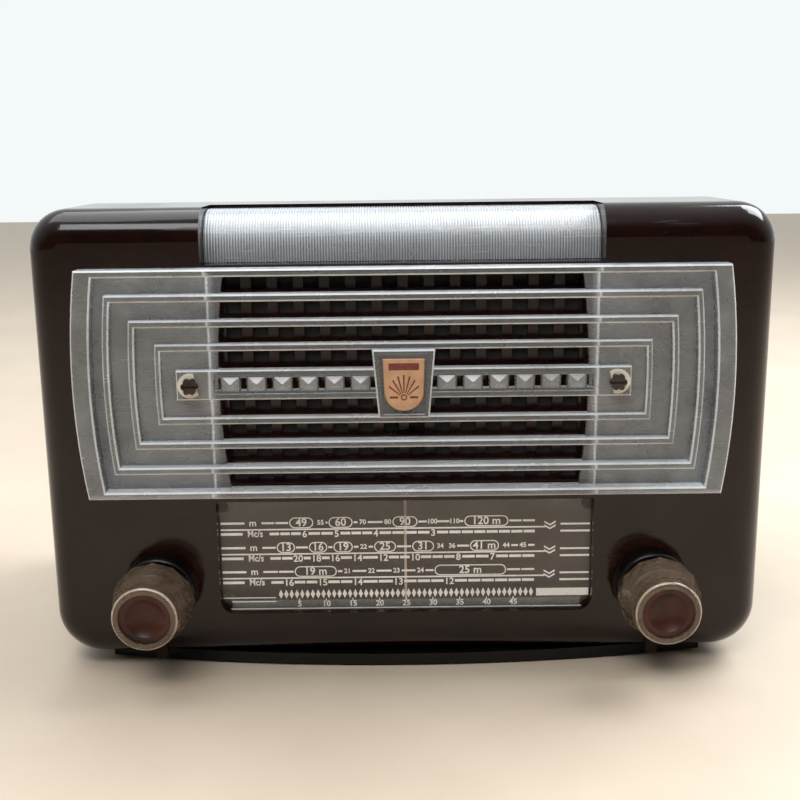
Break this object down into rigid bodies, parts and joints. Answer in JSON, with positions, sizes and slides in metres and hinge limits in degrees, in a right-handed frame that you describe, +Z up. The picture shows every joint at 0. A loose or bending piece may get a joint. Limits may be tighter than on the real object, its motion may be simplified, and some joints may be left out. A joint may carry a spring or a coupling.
{
  "type": "table radio",
  "caption": "Bakelite table radio with a clear ribbed speaker grille, a printed tuning dial and a dual control at each side.",
  "frame": {"origin": "middle of the overall box in X and Y, at the surface the feet stand on", "axes": "+X to the right seen from the front, +Y towards the back cover, +Z up"},
  "size_m": [0.278, 0.168, 0.1805],
  "materials": {
    "bakelite": "polished dark brown moulded resin",
    "black_bakelite": "dull black moulded resin",
    "clear_acrylic": "aged clear acrylic, slightly hazed",
    "dial_acrylic": "clear plate printed from behind",
    "knob_acrylic": "yellowed clear acrylic",
    "brown_dish": "maroon moulded resin",
    "steel": "zinc plated sheet",
    "dark_paint": "satin brown paint",
    "copper": "copper coloured plate",
    "brass": "turned brass",
    "aluminium": "drawn cans",
    "screw_steel": "darkened steel",
    "cream_plastic": "aged cream plastic",
    "pointer_paint": "salmon paint",
    "rubber": "black rubber",
    "cord": "waxed linen cord",
    "cloth": "dark woven cloth",
    "board": "pressed fibre board",
    "cone_paper": "black pulp paper",
    "glass": "clear blown glass",
    "ceramic": "unglazed ceramic",
    "paxolin": "laminated resin sheet",
    "winding": "taped copper winding"
  },
  "bodies": {
    "root_case": {"case_shell": "bakelite", "plinth": "black_bakelite", "rubber_feet": "rubber", "chassis_bolts": "screw_steel", "window_panel": "clear_acrylic", "grille": "clear_acrylic", "badge": "copper", "grille_screws": "screw_steel", "screw_washers": "cream_plastic", "dial_glass": "dial_acrylic", "dial_backplate": "dark_paint", "backplate_posts": "brass", "dial_lamps": "glass", "lamp_holders": "brass", "control_collars": "black_bakelite", "control_brackets": "steel", "volume_control_can": "steel", "switch_wafer": "paxolin", "drive_cord": "cord", "pointer_rail": "steel", "gang_frame": "steel", "gang_stator": "aluminium", "speaker_cloth": "cloth", "baffle_board": "board", "speaker_basket": "dark_paint", "speaker_cone": "cone_paper", "speaker_magnet": "steel", "chassis": "steel", "valve_sockets": "black_bakelite", "valve_glass": "glass", "if_cans": "aluminium", "capacitor_can": "aluminium", "output_transformer": "dark_paint", "transformer_winding": "winding", "dropper_resistor": "ceramic", "back_cover": "board", "cover_screws": "screw_steel", "socket_strips": "paxolin", "socket_sleeves": "brass", "cord_grommet": "rubber", "voltage_selector": "black_bakelite"},
    "volume_control": {"volume_knob": "knob_acrylic", "volume_knob_dish": "brown_dish", "volume_shaft": "steel", "volume_wiper": "brass"},
    "tone_control": {"tone_lever": "brown_dish", "tone_sleeve": "brass"},
    "tuning_control": {"tuning_knob": "knob_acrylic", "tuning_knob_dish": "brown_dish", "tuning_shaft": "steel"},
    "band_switch": {"band_lever": "brown_dish", "band_sleeve": "brass", "switch_rotor": "paxolin"},
    "tuning_gang": {"gang_rotor": "aluminium", "drive_drum": "aluminium"},
    "pointer": {"pointer_carriage": "steel", "pointer_needle": "pointer_paint"},
    "pulley_1": {"cord_pulley_1": "brass"},
    "pulley_2": {"cord_pulley_2": "brass"},
    "pulley_3": {"cord_pulley_3": "brass"}
  },
  "joints": [
    {"name": "volume_turn", "type": "hinge", "parent": "root_case", "child": "volume_control", "pos_m": [-0.096, -0.074, 0.0336], "axis": [0, 1, 0], "range_deg": [-150, 150]},
    {"name": "tone_swing", "type": "hinge", "parent": "root_case", "child": "tone_control", "pos_m": [-0.096, -0.063, 0.0336], "axis": [0, 1, 0], "range_deg": [-28, 28]},
    {"name": "tuning_turn", "type": "hinge", "parent": "root_case", "child": "tuning_control", "pos_m": [0.096, -0.074, 0.0336], "axis": [0, 1, 0], "range_deg": [-900, 900]},
    {"name": "band_swing", "type": "hinge", "parent": "root_case", "child": "band_switch", "pos_m": [0.096, -0.063, 0.0336], "axis": [0, 1, 0], "range_deg": [-30, 30]},
    {"name": "gang_turn", "type": "hinge", "parent": "root_case", "child": "tuning_gang", "pos_m": [0.078, -0.034, 0.072], "axis": [0, 1, 0], "range_deg": [-90, 90]},
    {"name": "pointer_slide", "type": "slide", "parent": "root_case", "child": "pointer", "axis": [1, 0, 0], "range_m": [-0.0476, 0.0476]},
    {"name": "pulley_1_turn", "type": "hinge", "parent": "root_case", "child": "pulley_1", "pos_m": [0.04376, -0.034, 0.025], "axis": [0, 1, 0], "range_deg": [-685, 685]},
    {"name": "pulley_2_turn", "type": "hinge", "parent": "root_case", "child": "pulley_2", "pos_m": [-0.062, -0.034, 0.017], "axis": [0, 1, 0], "range_deg": [-685, 685]},
    {"name": "pulley_3_turn", "type": "hinge", "parent": "root_case", "child": "pulley_3", "pos_m": [0.066, -0.034, 0.017], "axis": [0, 1, 0], "range_deg": [-685, 685]}
  ],
  "couplings": [
    {"joint": "tuning_turn", "follows": "gang_turn", "ratio": 10},
    {"joint": "pointer_slide", "follows": "gang_turn", "m_per_rad": -0.03024},
    {"joint": "pulley_1_turn", "follows": "gang_turn", "ratio": -7.56},
    {"joint": "pulley_2_turn", "follows": "gang_turn", "ratio": 7.56},
    {"joint": "pulley_3_turn", "follows": "gang_turn", "ratio": 7.56}
  ]
}
